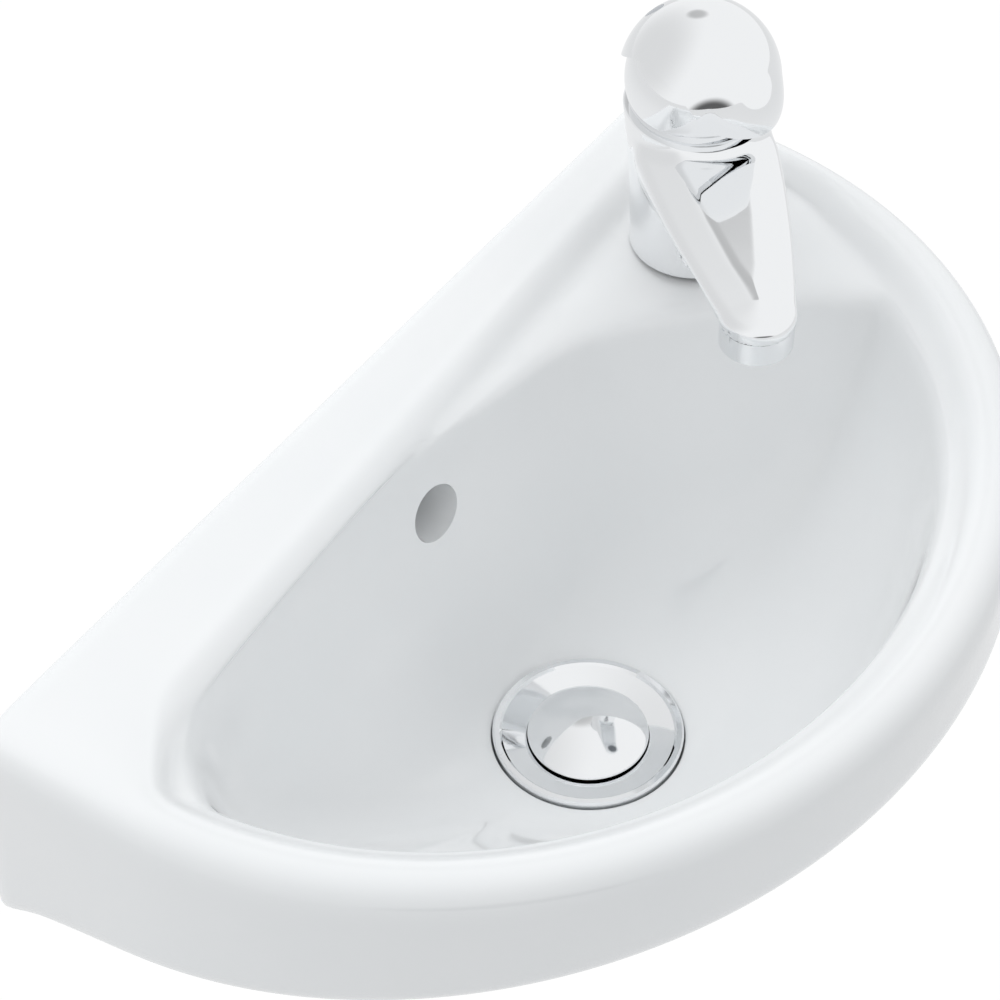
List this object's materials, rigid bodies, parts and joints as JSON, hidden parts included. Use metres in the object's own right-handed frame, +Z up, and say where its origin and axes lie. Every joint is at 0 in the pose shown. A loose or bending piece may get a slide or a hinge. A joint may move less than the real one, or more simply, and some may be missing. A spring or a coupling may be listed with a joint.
{
  "type": "wall-hung hand-rinse basin",
  "caption": "D-shaped wall-hung hand-rinse basin with overflow, a domed push-plug waste and a single-lever mixer whose spout reaches over the bowl.",
  "frame": {"origin": "midway between the centres of the two wall-bolt holes, on the basin's wall face", "axes": "+X along the wall towards the mixer's end, +Y out of the basin's back into the wall, +Z up; the bowl lies on the -Y side"},
  "size_m": [0.373, 0.227, 0.2748],
  "materials": {
    "glaze": "gloss",
    "waste_chrome": "polished",
    "plug_chrome": "polished",
    "tap_chrome": "polished",
    "seal_rubber": "matte",
    "nut_plastic": "matte",
    "barrel_plastic": "satin",
    "insert_plastic": "matte",
    "cartridge_plastic": "satin",
    "cap_plastic": "gloss",
    "disc_ceramic": "lapped",
    "stem_brass": "machined",
    "nut_brass": "machined",
    "fastener_steel": "satin"
  },
  "bodies": {
    "basin_unit": {"basin": "glaze", "waste_body": "waste_chrome", "upper_waste_seal": "seal_rubber", "lower_waste_seal": "seal_rubber", "back_nut": "nut_plastic", "click_barrel": "barrel_plastic", "mixer_body": "tap_chrome", "base_gasket": "seal_rubber", "aerator_housing": "tap_chrome", "aerator_insert": "insert_plastic", "aerator_seal": "seal_rubber", "cartridge_body": "cartridge_plastic", "fixed_disc": "disc_ceramic", "cartridge_nut": "nut_brass", "shroud": "tap_chrome", "fixing_stud": "stem_brass", "clamp_pad": "seal_rubber", "clamp_plate": "fastener_steel", "stud_nut": "nut_brass"},
    "carrier": {"cartridge_carrier": "cartridge_plastic", "moving_disc": "disc_ceramic", "pivot_pin": "fastener_steel"},
    "lever": {"spindle": "fastener_steel", "lever_hood": "tap_chrome", "grub_screw": "fastener_steel", "screw_cap": "cap_plastic"},
    "plug": {"plug_dome": "plug_chrome", "plug_seal": "seal_rubber", "plug_stem": "stem_brass"}
  },
  "joints": [
    {"name": "temperature_turn", "type": "hinge", "parent": "basin_unit", "child": "carrier", "pos_m": [0.13, -0.053, 0.125], "axis": [0, 0, 1], "range_deg": [-95, 5]},
    {"name": "flow_lift", "type": "hinge", "parent": "carrier", "child": "lever", "pos_m": [0.13, -0.053, 0.125], "axis": [-1, 0, 0], "range_deg": [0, 25]},
    {"name": "plug_push", "type": "slide", "parent": "basin_unit", "child": "plug", "axis": [0, 0, 1], "range_m": [0, 0.008]}
  ]
}
